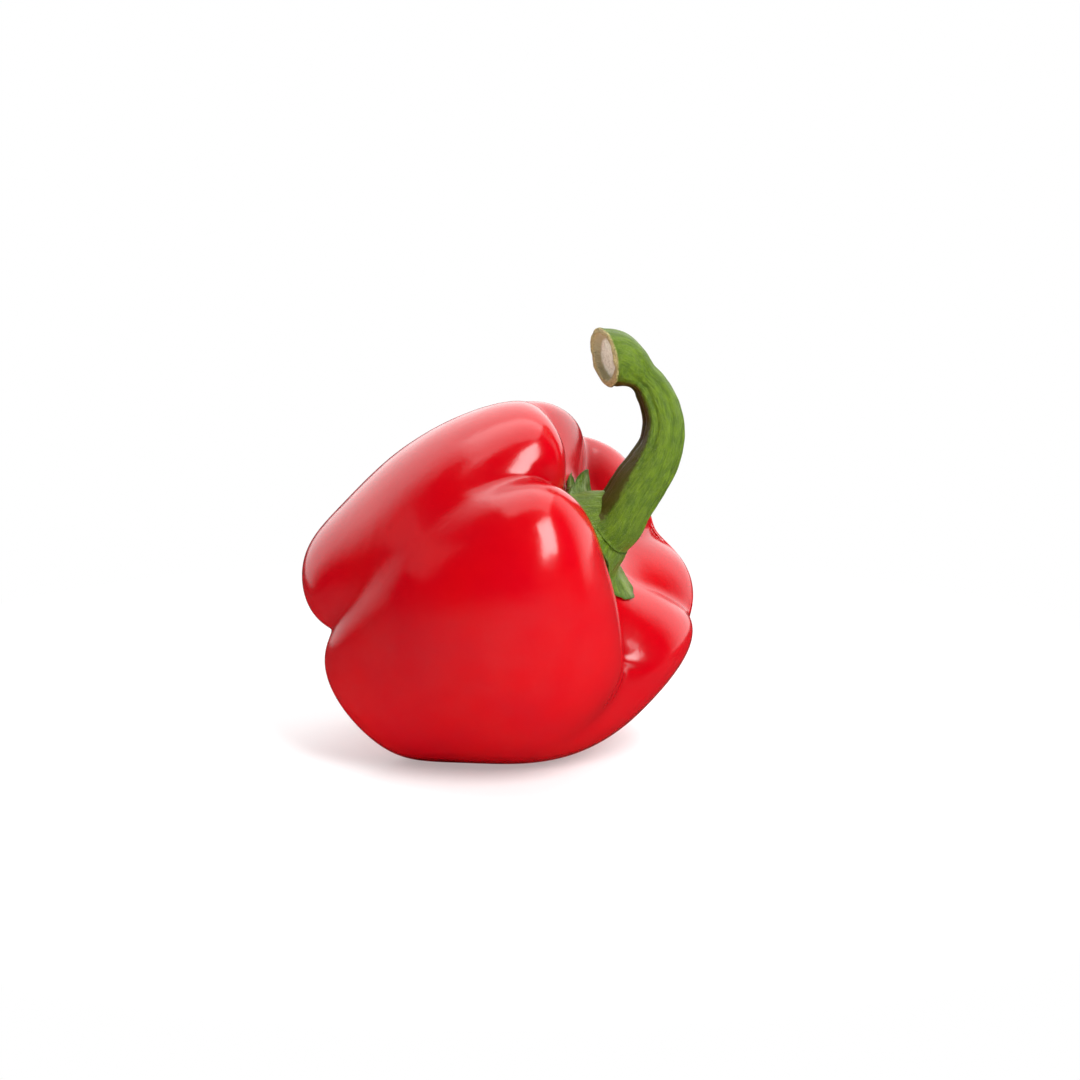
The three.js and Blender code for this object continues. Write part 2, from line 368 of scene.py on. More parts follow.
def sphere_place(vert, rows):
    """Angle round the pole and row from the top, of a point of a UV sphere of radius 1."""
    angle = math.atan2(vert.co.y, vert.co.x)
    return angle, round(math.acos(max(-1, min(1, vert.co.z))) * rows / math.pi)


def add_piece(name, mesh, material, node):
    """Makes the object of a finished piece, which stands for a CAD node."""
    data = bpy.data.meshes.new(name)
    mesh.to_mesh(data)
    mesh.free()
    data.shade_smooth()
    piece = bpy.data.objects.new(name, data)
    bpy.context.scene.collection.objects.link(piece)
    data.materials.append(material)
    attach(piece, "root")
    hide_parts(node)
    return piece


def ripple(point, size):
    """Smooth noise from -1 to 1 that changes over the given size."""
    return noise.noise(point / size)


# Gentle swells of the skin: how high they are and how far apart.
SWELL = 0.35
SWELL_SPACING = 0.022
# The crease depth that counts as a full fold, where the painted shade in the folds is full, in
# millimetres.
FULL_FOLD = 10


class PEPPER_OT_fruit(bpy.types.Operator):
    """Adds the lobed red fruit"""
    bl_idname = "pepper.fruit"
    bl_label = "Fruit"

    def execute(self, context):
        settings = context.scene.pepper_fruit
        skin = Skin(settings)
        laid = lay_down(skin)
        mesh = bmesh.new()
        bmesh.ops.create_uvsphere(
            mesh, u_segments=settings.columns, v_segments=settings.rows, radius=1)
        fold_shade = mesh.verts.layers.float.new("fold_shade")
        for vert in mesh.verts:
            angle, row = sphere_place(vert, settings.rows)
            t = SPAN * row / settings.rows
            # How deep the creases lie here, which sets how much painted shade darkens the skin's
            # folds.
            vert[fold_shade] = skin.crease_depth(angle, t) / (FULL_FOLD * MM)
            swell = SWELL * MM * ripple(skin.point(angle, t), SWELL_SPACING)
            place = laid @ skin.point(angle, t, swell)
            place.z = max(place.z, 0)
            vert.co = place
        add_piece("pepper_fruit", mesh, skin_material(settings), "fruit")
        return {"FINISHED"}


# ---------------------------------------------------------------- calyx

# Each sepal: where it points, how far its tip reaches from the axis, its half width in
# degrees, and how far its tip curls up.
SEPALS = (
    (352, 16.4, 24, 2.2), (30, 15.4, 24, 1.5), (72, 13.8, 22, 0.3), (116, 13.4, 26, 0),
    (148, 13.2, 20, 0), (192, 18.6, 34, 0.2), (240, 15, 24, 0.4), (276, 14.5, 20, 0.6),
    (318, 20, 26, 2.4))
# The collar's radius, and how softly it slopes, at some angles.
COLLAR_SIDES = ((12, 12.4, 1.7), (92, 11.4, 3.3), (205, 9.4, 2.8), (290, 10.6, 2.2))
CALYX_TOP_ROWS = 84
CALYX_ROWS = 104
CALYX_COLUMNS = 264
# In millimetres, as are the reaches above.
SEPAL_THICKNESS = 0.9
COLLAR_LIP = 0.9
SEPAL_ROOT = 12
RAGGEDNESS = 0.35
GAP = 0.15
# The collar climbs the stem: the stem's foot, and how high and how far out the climb reaches.
STEM_FOOT = (2.3, -0.3)
STEM_FOOT_RADIUS = 6.8
CLIMB = 3
CLIMB_REACH = 1.2


def collar_side(angle, column):
    """A column of COLLAR_SIDES at any angle."""
    angles = [math.radians(side[0]) for side in COLLAR_SIDES]
    return around(angles, [side[column] for side in COLLAR_SIDES], angle, COLLAR_FOCUS)


def collar_ribs(angle):
    """Uneven ridges round the collar, in millimetres."""
    return (
        0.5 * math.cos(5 * angle - 1.9) + 0.3 * math.cos(9 * angle + 1.1)
        + 0.15 * math.cos(16 * angle))


def calyx_rim(angle):
    """Distance from the axis to the calyx's edge, the curl there, and the nearest midrib."""
    lip = collar_side(angle, 1) + COLLAR_LIP
    rim = lip
    curl = 0
    nearest = 1
    for at, reach, half_width, lift in SEPALS:
        turn = abs(math.remainder(angle - math.radians(at), math.tau)) / math.radians(half_width)
        nearest = min(nearest, turn)
        if turn < 1:
            share = 0.35 * (1 - turn) + 0.65 * (1 - turn * turn) ** 1.6
            rim = max(rim, lip + (reach - SEPAL_ROOT) * share)
            curl = max(curl, lift * share)
    ragged = noise.noise(Vector((7 * math.cos(angle), 7 * math.sin(angle), 3)))
    return rim + RAGGEDNESS * ragged, curl, nearest


class PEPPER_OT_calyx(bpy.types.Operator):
    """Adds the collar under the stem with its sepals"""
    bl_idname = "pepper.calyx"
    bl_label = "Calyx"

    def execute(self, context):
        skin = Skin(context.scene.pepper_fruit)
        green = context.scene.pepper_green
        laid = lay_down(skin)
        rise = green.collar_rise / MM

        def height(angle, distance, rim, curl, nearest):
            """Height and thickness of the calyx over the skin, in millimetres."""
            collar = collar_side(angle, 1)
            edge = (collar - distance) / collar_side(angle, 2)
            shoulder = 1 / (1 + math.exp(-5 * (edge - 0.35)))
            leaf = max(0, (distance - collar) / max(rim - collar, 0.5))
            thick = SEPAL_THICKNESS * (1 - 0.45 * min(leaf, 1) ** 3)
            slope = 4 * shoulder * (1 - shoulder) + 0.25 * shoulder
            rib = collar_ribs(angle) * slope * min(distance / 7, 1) ** 2
            keel = 0.35 * math.exp(-(nearest / 0.16) ** 2) * min(leaf * 3, 1) * (1 - leaf)
            spot = Vector((distance * math.cos(angle), distance * math.sin(angle), 5))
            bump = 0.3 * ripple(spot, 2.4) + 0.14 * ripple(spot, 0.9)
            lift = curl * min(leaf, 1.2) ** 2
            body = (rise - SEPAL_THICKNESS) * shoulder
            beside = math.hypot(spot.x - STEM_FOOT[0], spot.y - STEM_FOOT[1]) - STEM_FOOT_RADIUS
            body += CLIMB * shoulder * math.exp(-max(beside, 0) / CLIMB_REACH)
            return thick + body + rib + keel + bump * min(distance / 4, 1) + lift, thick

        mesh = bmesh.new()
        bmesh.ops.create_uvsphere(
            mesh, u_segments=CALYX_COLUMNS, v_segments=CALYX_ROWS, radius=1)
        fibre = mesh.verts.layers.float_vector.new("fibre")
        vein = mesh.verts.layers.float.new("vein")
        leaf_edge = mesh.verts.layers.float.new("edge")
        rims = {}
        for vert in mesh.verts:
            angle, row = sphere_place(vert, CALYX_ROWS)
            angle = round(angle, 6)
            if angle not in rims:
                rims[angle] = calyx_rim(angle)
            rim, curl, nearest = rims[angle]
            if row <= CALYX_TOP_ROWS:
                distance = rim * row / CALYX_TOP_ROWS
            else:
                distance = rim * (CALYX_ROWS - row) / (CALYX_ROWS - CALYX_TOP_ROWS)
            over, thick = height(angle, distance, rim, curl, nearest)
            if row > CALYX_TOP_ROWS:
                outside = distance > collar_side(angle, 1)
                over = max(over - thick * 0.85, 0) if outside else 0
            place = skin.cavity_place(angle, distance * MM)
            vert.co = laid @ skin.point(angle, place, (GAP + over) * MM)
            vert[fibre] = Vector((0.9 * math.cos(angle), 0.9 * math.sin(angle), distance / 10))
            leaf = max(0, distance - collar_side(angle, 1)) / 3
            vert[vein] = math.exp(-(nearest / 0.13) ** 2) * min(leaf, 1)
            vert[leaf_edge] = (distance / rim) ** 8
        add_piece("pepper_calyx", mesh, calyx_material(green), "calyx")
        return {"FINISHED"}


# ---------------------------------------------------------------- stem

# Centre line from the collar to the cut end, in millimetres, and the radius at each
# point: on the outside of the bend and on the inside.
STEM_PATH = (
    (1.8, -0.1, 33), (2.1, -0.2, 35.6), (4, -0.8, 38.9), (6.5, -2.2, 43.5), (9.2, -3.8, 48.8),
    (12.2, -5.1, 52.8), (16.2, -6.3, 55.7), (21, -7, 57.1), (25.2, -7.1, 57.3),
    (28.4, -6.6, 56.7), (31.8, -5.5, 56), (35.1, -4, 54.8), (37.2, -2.5, 52.7))
STEM_RADII = (
    (6.9, 6.9), (6.6, 6.6), (6.5, 6.6), (6.5, 6.5), (6.2, 6.2), (5.6, 5.5), (5.2, 5.1),
    (4.8, 4.7), (4.5, 4.3), (4.5, 3.7), (5.6, 5.8), (6.6, 6.8), (6.7, 6.9))
CUT_NORMAL = Vector((0.31, 0.67, -0.67))
# The cut end, from its middle outwards: share of the radius, and how deep it is sunk.
CUT_PROFILE = (
    (0, 1.9), (0.12, 1.88), (0.24, 1.86), (0.36, 1.84), (0.46, 1.82), (0.55, 1.8), (0.62, 1.74),
    (0.67, 1.6), (0.7, 1.3), (0.725, 0.9), (0.75, 0.5), (0.77, 0.2), (0.79, 0.05), (0.82, -0.03),
    (0.86, -0.04), (0.9, 0), (0.94, 0.06), (0.965, 0.16), (0.985, 0.32), (1, 0.55))
STEM_COLUMNS = 144
STEM_LENGTH_ROWS = 190
STEM_BASE_ROWS = 6
# The middle of the bend, which the stem's flat inner face looks at.
HOOK_CENTRE = (20.5, -4, 44)
# How far the cut's edge rounds over, and how far back the stem's end is slanted to the cut.
EDGE_ROUNDING = 1.5
SLANT_REACH = 7
# The foot of the stem flares out: over what length, and mostly towards what angle.
FLARE_LENGTH = 2.8
FLARE_ANGLE = 1.8
FURROW_WIDTH = 0.14
FURROW_TWIST = 0.006
# Furrows between the stem's ribs: where each runs and how deep it is.
FURROWS = ((20, 0.5), (68, 0.36), (115, 0.45), (160, 0.34), (214, 0.46), (268, 0.4), (318, 0.44))


def catmull_rom(points, share):
    """A point on a smooth curve through the given points."""
    place = share * (len(points) - 1)
    cell = min(int(place), len(points) - 2)
    f = place - cell
    b, c = points[cell], points[cell + 1]
    a = points[cell - 1] if cell > 0 else b * 2 - c
    d = points[cell + 2] if cell + 2 < len(points) else c * 2 - b
    return 0.5 * (
        b * 2 + (c - a) * f + (a * 2 - b * 5 + c * 4 - d) * f ** 2
        + (b * 3 - a - c * 3 + d) * f ** 3)


class StemLine:
    """The stem's centre line with a frame at each row that doesn't twist."""

    def __init__(self, rows):
        hook = Vector(HOOK_CENTRE)
        path = [Vector(point) for point in STEM_PATH]
        self.centres = [catmull_rom(path, row / rows) for row in range(rows + 1)]
        self.tangents = []
        for row in range(rows + 1):
            ahead = self.centres[min(row + 1, rows)]
            behind = self.centres[max(row - 1, 0)]
            self.tangents.append((ahead - behind).normalized())
        side = Vector((1, 0, 0))
        self.sides = []
        for tangent in self.tangents:
            side = (side - tangent * side.dot(tangent)).normalized()
            self.sides.append(side)
        self.lengths = [0]
        for row in range(rows):
            step = (self.centres[row + 1] - self.centres[row]).length
            self.lengths.append(self.lengths[-1] + step)
        self.hollows = []
        for centre, tangent in zip(self.centres, self.tangents):
            inward = hook - centre
            self.hollows.append((inward - tangent * inward.dot(tangent)).normalized())


class PEPPER_OT_stem(bpy.types.Operator):
    """Adds the ribbed, hooked stem with its cut end"""
    bl_idname = "pepper.stem"
    bl_label = "Stem"

    def execute(self, context):
        skin = Skin(context.scene.pepper_fruit)
        green = context.scene.pepper_green
        laid = lay_down(skin)
        line = StemLine(STEM_LENGTH_ROWS)
        rows = len(CUT_PROFILE) - 1 + STEM_LENGTH_ROWS + STEM_BASE_ROWS
        radii = [Vector((*pair, 0)) for pair in STEM_RADII]
        mesh = bmesh.new()
        bmesh.ops.create_uvsphere(mesh, u_segments=STEM_COLUMNS, v_segments=rows, radius=1)
        fibre = mesh.verts.layers.float_vector.new("fibre")
        inside = mesh.verts.layers.float.new("inside")
        end = mesh.verts.layers.float.new("end")

        def outline(angle, row):
            """Offset of the stem's surface from its centre line, and how far inside the bend."""
            side = line.sides[row]
            out = side * math.cos(angle) + line.tangents[row].cross(side) * math.sin(angle)
            facing = out.dot(line.hollows[row])
            outer_radius, inner_radius, _ = catmull_rom(radii, row / STEM_LENGTH_ROWS)
            radius = outer_radius + (inner_radius - outer_radius) * (0.5 + 0.5 * facing)
            length = line.lengths[row]
            to_end = line.lengths[-1] - length
            middle = min(length / 6, 1) * min(to_end / 9, 1)
            radius += middle * (
                0.45 * math.exp(-((facing - 0.32) / 0.17) ** 2) - 0.55 * max(facing - 0.45, 0))
            for at, depth in FURROWS:
                turn = math.remainder(angle - math.radians(at) - FURROW_TWIST * length, math.tau)
                radius -= depth * math.exp(-(turn / FURROW_WIDTH) ** 2) * (0.3 + 0.7 * middle)
            towards = max(math.cos(angle - FLARE_ANGLE), 0)
            radius += math.exp(-length / FLARE_LENGTH) * (0.5 + 1.1 * towards)
            spot = Vector((radius * math.cos(angle), radius * math.sin(angle), 0.5 * length))
            radius += 0.16 * ripple(spot, 2.6) + 0.07 * ripple(spot, 0.9)
            limit = 0.76 - 0.2 * math.exp(-(length / 17) ** 2) + 0.1 * max(1 - to_end / 9, 0)
            return out * radius, (0.5 + 0.5 * facing) - limit

        for vert in mesh.verts:
            angle, row = sphere_place(vert, rows)
            share, sink, step = 1, 0, 0
            if row < len(CUT_PROFILE) - 1:
                share, sink = CUT_PROFILE[row]
                step = STEM_LENGTH_ROWS
            elif row > rows - STEM_BASE_ROWS:
                share = (rows - row) / STEM_BASE_ROWS
            else:
                step = STEM_LENGTH_ROWS + len(CUT_PROFILE) - 1 - row
            offset, within = outline(angle, step)
            tangent = line.tangents[step]
            to_end = line.lengths[-1] - line.lengths[step]
            offset = offset * share
            if row < len(CUT_PROFILE) - 1:
                crust = noise.noise(Vector((4 * math.cos(angle), 4 * math.sin(angle), share * 9)))
                sink += 0.3 * crust * math.exp(-((share - 0.86) / 0.1) ** 2)
                sink += 0.2 * ripple(offset, 1.6)
            near = max(0, 1 - to_end / SLANT_REACH) ** 2
            slant = -offset.dot(CUT_NORMAL) / tangent.dot(CUT_NORMAL) * near
            if share == 1:
                sink += CUT_PROFILE[-1][1] * max(0, 1 - to_end / EDGE_ROUNDING)
            place = line.centres[step] + offset + tangent * (slant - sink)
            vert[fibre] = Vector((
                offset.length * math.cos(angle), offset.length * math.sin(angle),
                line.lengths[step])) * 0.1
            vert[inside] = within
            vert[end] = share + to_end / 10 if step else 9
            vert.co = laid @ (place * MM)
        add_piece("pepper_stem", mesh, stem_material(green), "stem")
        return {"FINISHED"}


# ---------------------------------------------------------------- materials

def new_material(name):
    """A node material, with its nodes and links."""
    material = bpy.data.materials.new(name)
    material.use_nodes = True
    return material, material.node_tree.nodes, material.node_tree.links


def add_noise(nodes, links, coordinates, scale, detail=2, roughness=0.5):
    """Noise from 0 to 1."""
    node = nodes.new("ShaderNodeTexNoise")
    node.inputs["Scale"].default_value = scale
    node.inputs["Detail"].default_value = detail
    node.inputs["Roughness"].default_value = roughness
    links.new(coordinates, node.inputs["Vector"])
    return node.outputs["Fac"]


def add_ramp(nodes, links, value, low, high, to_low=0, to_high=1):
    """Remaps a value, held between its ends."""
    node = nodes.new("ShaderNodeMapRange")
    node.inputs["From Min"].default_value = low
    node.inputs["From Max"].default_value = high
    node.inputs["To Min"].default_value = to_low
    node.inputs["To Max"].default_value = to_high
    links.new(value, node.inputs["Value"])
    return node.outputs["Result"]


def add_mix(nodes, links, factor, first, second, blend="MIX"):
    """Mixes two colours; each may be a socket or three numbers."""
    node = nodes.new("ShaderNodeMix")
    node.data_type = "RGBA"
    node.blend_type = blend
    links.new(factor, node.inputs["Factor"])
    for socket, value in ((node.inputs["A"], first), (node.inputs["B"], second)):
        if isinstance(value, bpy.types.NodeSocket):
            links.new(value, socket)
        else:
            socket.default_value = (*value, 1)
    return node.outputs["Result"]


def add_math(nodes, links, operation, *values):
    """Arithmetic on values that may be sockets or numbers."""
    node = nodes.new("ShaderNodeMath")
    node.operation = operation
    for socket, value in zip(node.inputs, values):
        if isinstance(value, bpy.types.NodeSocket):
            links.new(value, socket)
        else:
            socket.default_value = value
    return node.outputs["Value"]


def add_attribute(nodes, name, output):
    """An output of a piece's own attribute."""
    node = nodes.new("ShaderNodeAttribute")
    node.attribute_name = name
    return node.outputs[output]


def add_bump(nodes, links, height, strength, distance, normal=None):
    """A normal bumped by a height, on top of another normal if one is given."""
    node = nodes.new("ShaderNodeBump")
    node.inputs["Strength"].default_value = strength
    node.inputs["Distance"].default_value = distance
    links.new(height, node.inputs["Height"])
    if normal:
        links.new(normal, node.inputs["Normal"])
    return node.outputs["Normal"]


def skin_material(settings):
    """Ripe pepper skin: deep red, wet gloss, faint mottling and pores, with painted shade darkening
    the folds.
    """
    material, nodes, links = new_material("red_skin")
    shader = nodes["Principled BSDF"]
    place = nodes.new("ShaderNodeTexCoord").outputs["Object"]
    mottle = add_ramp(nodes, links, add_noise(nodes, links, place, 60, 3), 0.35, 0.7)
    red = add_mix(nodes, links, mottle, settings.colour, settings.warm_colour)
    # Painted shade: the red darkens towards the fold shade colour the deeper the crease lies.
    fold_shade = add_ramp(nodes, links, add_attribute(nodes, "fold_shade", "Fac"), 0.15, 0.9)
    red = add_mix(nodes, links, fold_shade, red, settings.fold_shade_colour)
    links.new(red, shader.inputs["Base Color"])
    smear = add_noise(nodes, links, place, 140, 3)
    links.new(add_ramp(nodes, links, smear, 0.3, 0.75, 0.14, 0.22), shader.inputs["Roughness"])
    pores = add_noise(nodes, links, place, 1600, 1)
    waves = add_noise(nodes, links, place, 220, 2)
    normal = add_bump(nodes, links, waves, 0.12, 0.0006)
    normal = add_bump(nodes, links, pores, 0.08, 0.0001, normal)
    links.new(normal, shader.inputs["Normal"])
    shader.inputs["IOR"].default_value = 1.43
    return material


BLOOM_COLOUR = (0.42, 0.46, 0.25)


def rind_group():
    """Shared look of the green parts: fibres, a pale bloom, specks and a fine grain."""
    group = bpy.data.node_groups.new("Green rind", "ShaderNodeTree")
    face = group.interface
    for name, kind, side in (
            ("Coordinates", "NodeSocketVector", "INPUT"), ("Light", "NodeSocketColor", "INPUT"),
            ("Dark", "NodeSocketColor", "INPUT"), ("Bloom", "NodeSocketFloat", "INPUT"),
            ("Color", "NodeSocketColor", "OUTPUT"), ("Height", "NodeSocketFloat", "OUTPUT"),
            ("Roughness", "NodeSocketFloat", "OUTPUT")):
        face.new_socket(name, in_out=side, socket_type=kind)
    nodes, links = group.nodes, group.links
    given = nodes.new("NodeGroupInput").outputs
    result = nodes.new("NodeGroupOutput").inputs
    stretch = nodes.new("ShaderNodeMapping")
    stretch.inputs["Scale"].default_value = (1, 1, 0.12)
    links.new(given["Coordinates"], stretch.inputs["Vector"])
    fibres = add_noise(nodes, links, stretch.outputs["Vector"], 26, 3, 0.6)
    patches = add_noise(nodes, links, given["Coordinates"], 5, 3)
    grain = add_noise(nodes, links, given["Coordinates"], 60, 2)
    patch = add_ramp(nodes, links, patches, 0, 1, 0, 0.4)
    tone = add_math(nodes, links, "MULTIPLY_ADD", fibres, 0.65, patch)
    shade = add_ramp(nodes, links, tone, 0.4, 0.66)
    colour = add_mix(nodes, links, shade, given["Dark"], given["Light"])
    specks = add_noise(nodes, links, given["Coordinates"], 85, 1)
    speck = add_ramp(nodes, links, specks, 0.58, 0.72)
    bloom = add_math(nodes, links, "MULTIPLY", speck, given["Bloom"])
    colour = add_mix(nodes, links, bloom, colour, BLOOM_COLOUR)
    links.new(colour, result["Color"])
    links.new(add_math(nodes, links, "MULTIPLY_ADD", grain, 0.5, fibres), result["Height"])
    links.new(add_ramp(nodes, links, grain, 0.3, 0.7, 0.26, 0.5), result["Roughness"])
    return group


def place_rind(nodes, links, light, dark, bloom):
    """The shared green look with one material's own colours."""
    group = bpy.data.node_groups.get("Green rind") or rind_group()
    node = nodes.new("ShaderNodeGroup")
    node.node_tree = group
    links.new(add_attribute(nodes, "fibre", "Vector"), node.inputs["Coordinates"])
    node.inputs["Light"].default_value = (*light, 1)
    node.inputs["Dark"].default_value = (*dark, 1)
    node.inputs["Bloom"].default_value = bloom
    return node


def calyx_material(settings):
    """Calyx: green, veined, with pale midribs and dark thin edges."""
    material, nodes, links = new_material("green_calyx")
    shader = nodes["Principled BSDF"]
    rind = place_rind(nodes, links, settings.green, settings.dark_green, 0.5)
    vein = add_ramp(nodes, links, add_attribute(nodes, "vein", "Fac"), 0, 1, 0, 0.5)
    colour = add_mix(nodes, links, vein, rind.outputs["Color"], settings.vein)
    rim = add_ramp(nodes, links, add_attribute(nodes, "edge", "Fac"), 0.45, 1, 0, 0.75)
    colour = add_mix(nodes, links, rim, colour, settings.leaf_edge)
    links.new(colour, shader.inputs["Base Color"])
    links.new(rind.outputs["Roughness"], shader.inputs["Roughness"])
    links.new(add_bump(nodes, links, rind.outputs["Height"], 0.7, 0.0005), shader.inputs["Normal"])
    shader.inputs["Specular IOR Level"].default_value = 0.17
    return material


def stem_material(settings):
    """Stem: fresh green ribs, olive inside the bend that is partly painted shade, and a dry tan cut
    end with painted shade on the sunk wall round its pith.
    """
    material, nodes, links = new_material("green_stem")
    shader = nodes["Principled BSDF"]
    rind = place_rind(nodes, links, settings.green, settings.dark_green, 0.3)
    fibre = add_attribute(nodes, "fibre", "Vector")
    patch = add_ramp(nodes, links, add_noise(nodes, links, fibre, 14, 4), 0, 1, -0.09, 0.09)
    # Inside the bend the stem turns olive with pale hairs: partly its own brownish colour, partly
    # painted shade.
    reach = add_math(nodes, links, "ADD", add_attribute(nodes, "inside", "Fac"), patch)
    olive_and_shade_mask = add_ramp(nodes, links, reach, -0.025, 0.03, 0, 0.93)
    hairs = add_ramp(nodes, links, add_noise(nodes, links, fibre, 70, 2), 0.64, 0.74, 0, 0.6)
    shade = add_mix(nodes, links, hairs, settings.olive_and_shade, settings.hair)
    colour = add_mix(nodes, links, olive_and_shade_mask, rind.outputs["Color"], shade)
    # The cut end, from its middle (0) over its edge (1) and on down the stem.
    crumb = add_ramp(nodes, links, add_noise(nodes, links, fibre, 45, 3), 0, 1, -0.05, 0.05)
    at_end = add_math(nodes, links, "ADD", add_attribute(nodes, "end", "Fac"), crumb)
    crust = add_mix(
        nodes, links, add_ramp(nodes, links, add_noise(nodes, links, fibre, 60, 2), 0.35, 0.65),
        settings.crust, settings.dark_crust)
    # Painted shade: the sunk wall round the pith is painted dark brown, where the recess lies in
    # shade.
    wall = add_ramp(nodes, links, at_end, 0.60, 0.68)
    pith = add_mix(
        nodes, links, add_ramp(nodes, links, add_noise(nodes, links, fibre, 20, 3), 0.4, 0.75, 0, 0.6),
        settings.pith, settings.dark_pith_and_wall_shade)
    ends = add_mix(nodes, links, wall, pith, settings.dark_pith_and_wall_shade)
    ends = add_mix(nodes, links, add_ramp(nodes, links, at_end, 0.75, 0.79), ends, crust)
    whole = add_ramp(nodes, links, at_end, 0.97, 1.01)
    colour = add_mix(nodes, links, whole, ends, colour)
    links.new(colour, shader.inputs["Base Color"])
    links.new(rind.outputs["Roughness"], shader.inputs["Roughness"])
    links.new(add_bump(nodes, links, rind.outputs["Height"], 0.7, 0.0005), shader.inputs["Normal"])
    shader.inputs["Specular IOR Level"].default_value = 0.17
    return material


# ---------------------------------------------------------------- stage

class PEPPER_OT_stage(bpy.types.Operator):
    """Adds the floor, the lights and the camera"""
    bl_idname = "pepper.stage"
    bl_label = "Stage"

    def execute(self, context):
        settings = context.scene.pepper_stage
        fruit = context.scene.pepper_fruit
        skin = Skin(fruit)
        middle = lay_down(skin).translation
        add_camera(context, settings, middle)
        add_floor(context)
        add_lights(context, settings, middle)
        context.scene.view_settings.view_transform = "Standard"
        return {"FINISHED"}


def view_axes(azimuth, elevation):
    """Right, up and back of a camera at that angle."""
    back = Vector((
        math.sin(azimuth) * math.cos(elevation),
        -math.cos(azimuth) * math.cos(elevation),
        math.sin(elevation)))
    right = Vector((math.cos(azimuth), math.sin(azimuth), 0))
    return right, back.cross(right), back


def add_camera(context, settings, middle):
    """The camera, at its angle and distance from the fruit's middle."""
    right, up, back = view_axes(settings.camera_azimuth, settings.camera_elevation)
    data = bpy.data.cameras.new("camera")
    data.lens = settings.lens
    data.sensor_width = 36
    data.clip_start = 0.01
    camera = bpy.data.objects.new("camera", data)
    camera.location = middle + back * settings.camera_distance
    target = middle + right * settings.framing[0] + up * settings.framing[1]
    camera.rotation_euler = (target - camera.location).to_track_quat("-Z", "Y").to_euler()
    context.scene.collection.objects.link(camera)
    context.scene.camera = camera


FLOOR_SIZE = 6
FLOOR_WHITE = (0.9, 0.9, 0.9)
FLOOR_IN_GLOSS = (0.03, 0.03, 0.03)
UNDERLIGHT = 0.45
# The floor fades to plain white for the camera, from one distance to the other; the shadow
# under the pepper is already that share white.
FADE = (0.04, 0.2)
FADE_START = 0.35


def add_floor(context):
    """A pale floor, white further out, dark in the pepper's gloss, and softly lit from below."""
    mesh = bmesh.new()
    bmesh.ops.create_grid(mesh, x_segments=1, y_segments=1, size=FLOOR_SIZE)
    data = bpy.data.meshes.new("floor")
    mesh.to_mesh(data)
    mesh.free()
    floor = bpy.data.objects.new("floor", data)
    context.scene.collection.objects.link(floor)
    material, nodes, links = new_material("floor_white")
    shader = nodes["Principled BSDF"]
    shader.inputs["Roughness"].default_value = 0.9
    shader.inputs["Specular IOR Level"].default_value = 0
    path = nodes.new("ShaderNodeLightPath").outputs
    pale = add_mix(nodes, links, path["Is Glossy Ray"], FLOOR_WHITE, FLOOR_IN_GLOSS)
    links.new(pale, shader.inputs["Base Color"])
    shader.inputs["Emission Color"].default_value = (1, 1, 1, 1)
    underlight = add_ramp(nodes, links, path["Is Diffuse Ray"], 0, 1, 0, UNDERLIGHT)
    links.new(underlight, shader.inputs["Emission Strength"])
    away = nodes.new("ShaderNodeVectorMath")
    away.operation = "LENGTH"
    links.new(nodes.new("ShaderNodeTexCoord").outputs["Object"], away.inputs[0])
    fade = add_ramp(nodes, links, away.outputs["Value"], *FADE, FADE_START, 1)
    share = add_math(nodes, links, "MULTIPLY", fade, path["Is Camera Ray"])
    backdrop = nodes.new("ShaderNodeEmission")
    mix = nodes.new("ShaderNodeMixShader")
    links.new(share, mix.inputs["Fac"])
    links.new(shader.outputs["BSDF"], mix.inputs[1])
    links.new(backdrop.outputs["Emission"], mix.inputs[2])
    links.new(mix.outputs["Shader"], nodes["Material Output"].inputs["Surface"])
    data.materials.append(material)


def add_area(context, name, place, target, size, power):
    """A rectangular light that faces its target."""
    data = bpy.data.lights.new(name, "AREA")
    data.shape = "RECTANGLE"
    data.size, data.size_y = size
    data.energy = power
    light = bpy.data.objects.new(name, data)
    light.location = place
    light.rotation_euler = (target - place).to_track_quat("-Z", "Y").to_euler()
    context.scene.collection.objects.link(light)


# The world's glow, over how far a direction points behind the pepper.
GLOW_RAMP = (0.1, 0.45)
GLOW = 1.9
# Each light: its angle to the right of the camera and above the horizon in degrees, its
# distance and its two sides in metres, and its power in watts.
LIGHTS = (
    ("overhead", 180, 78, 1.2, (1.3, 1.0), 10),
    ("key", 37, 42, 1.2, (0.6, 0.8), 22),
    ("fill", -85, 28, 1.5, (0.5, 0.5), 0.35),
)


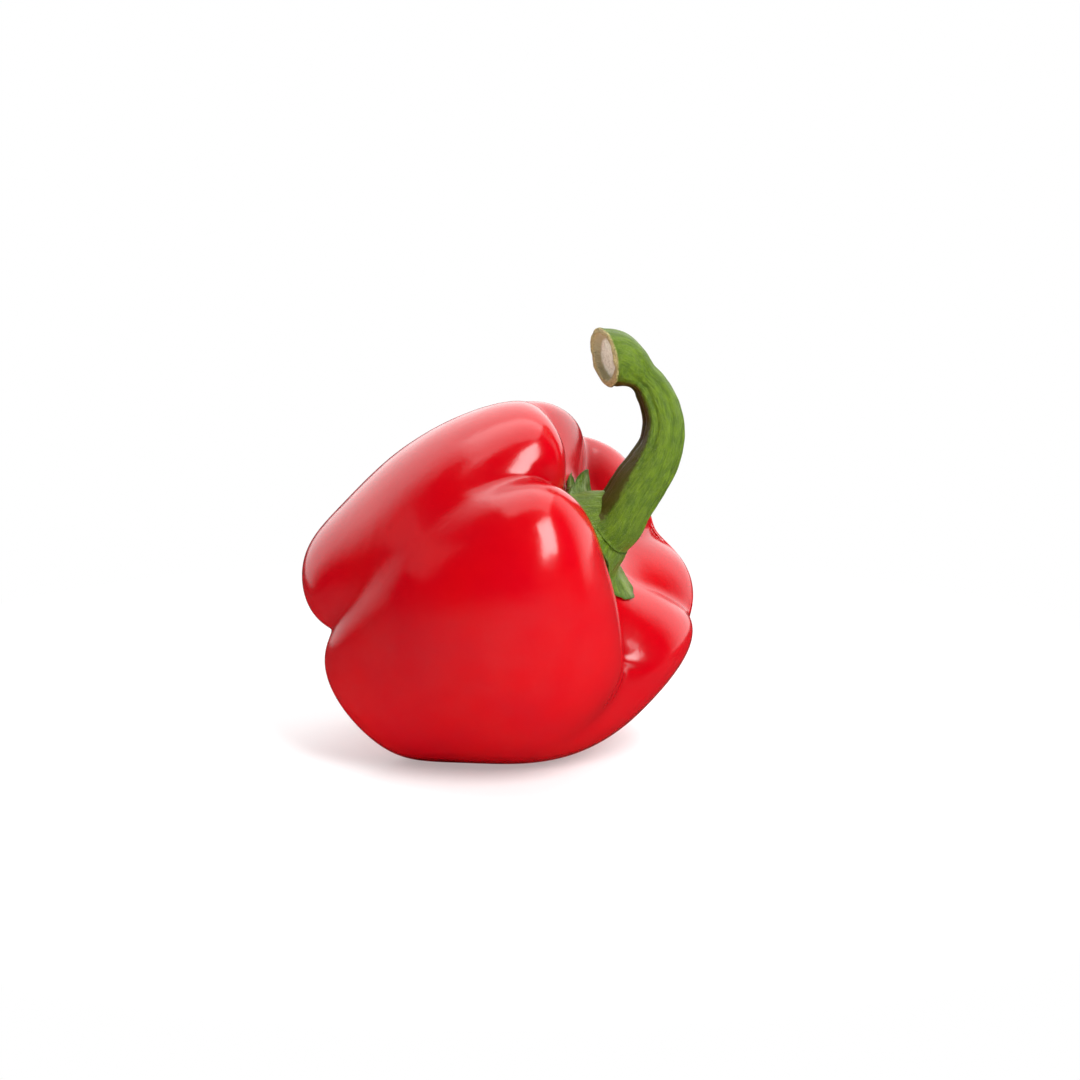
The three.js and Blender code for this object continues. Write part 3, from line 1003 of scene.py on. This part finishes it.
def add_world(context, azimuth):
    """White studio behind the pepper and dark in front of it, as its gloss shows."""
    world = bpy.data.worlds.new("studio")
    context.scene.world = world
    world.use_nodes = True
    nodes, links = world.node_tree.nodes, world.node_tree.links
    facing = nodes.new("ShaderNodeVectorMath")
    facing.operation = "DOT_PRODUCT"
    links.new(nodes.new("ShaderNodeTexCoord").outputs["Generated"], facing.inputs[0])
    facing.inputs[1].default_value = (-math.sin(azimuth), math.cos(azimuth), 0)
    glow = add_ramp(nodes, links, facing.outputs["Value"], *GLOW_RAMP, 0, GLOW)
    seen = nodes.new("ShaderNodeLightPath").outputs["Is Camera Ray"]
    strength = add_math(nodes, links, "ADD", glow, seen)
    links.new(strength, nodes["Background"].inputs["Strength"])
    nodes["Background"].inputs["Color"].default_value = (1, 1, 1, 1)


def from_camera(azimuth, turn, rise, reach):
    """A place at an angle to the right of the camera and above the horizon."""
    angle = azimuth + math.radians(turn)
    height = math.radians(rise)
    return reach * Vector((
        math.sin(angle) * math.cos(height), -math.cos(angle) * math.cos(height), math.sin(height)))


def add_lights(context, settings, middle):
    azimuth = settings.camera_azimuth
    add_world(context, azimuth)
    for name, turn, rise, reach, size, power in LIGHTS:
        place = middle + from_camera(azimuth, turn, rise, reach)
        add_area(context, name, place, middle, size, power)


# ---------------------------------------------------------------- panel and registration

class PEPPER_PT_panel(bpy.types.Panel):
    """Buttons and settings of the bell pepper"""
    bl_idname = "PEPPER_PT_panel"
    bl_label = "Bell pepper"
    bl_space_type = "VIEW_3D"
    bl_region_type = "UI"
    bl_category = "Pepper"

    def draw(self, context):
        for name in ("pepper_fruit", "pepper_green", "pepper_stage"):
            group = getattr(context.scene, name)
            for key in group.__annotations__:
                self.layout.prop(group, key)
        for operator in OPERATORS:
            self.layout.operator(operator.bl_idname)


SETTINGS = {
    "pepper_fruit": FruitSettings,
    "pepper_green": GreenSettings,
    "pepper_stage": StageSettings,
}
OPERATORS = (PEPPER_OT_fruit, PEPPER_OT_calyx, PEPPER_OT_stem, PEPPER_OT_stage)


def register():
    for name, group in SETTINGS.items():
        bpy.utils.register_class(group)
        setattr(bpy.types.Scene, name, PointerProperty(type=group))
    for operator in OPERATORS:
        bpy.utils.register_class(operator)
    bpy.utils.register_class(PEPPER_PT_panel)


def unregister():
    bpy.utils.unregister_class(PEPPER_PT_panel)
    for operator in reversed(OPERATORS):
        bpy.utils.unregister_class(operator)
    for name, group in reversed(SETTINGS.items()):
        delattr(bpy.types.Scene, name)
        bpy.utils.unregister_class(group)


def main():
    register()
    bpy.ops.pepper.fruit()
    bpy.ops.pepper.calyx()
    bpy.ops.pepper.stem()
    bpy.ops.pepper.stage()


if __name__ == "__main__":
    main()
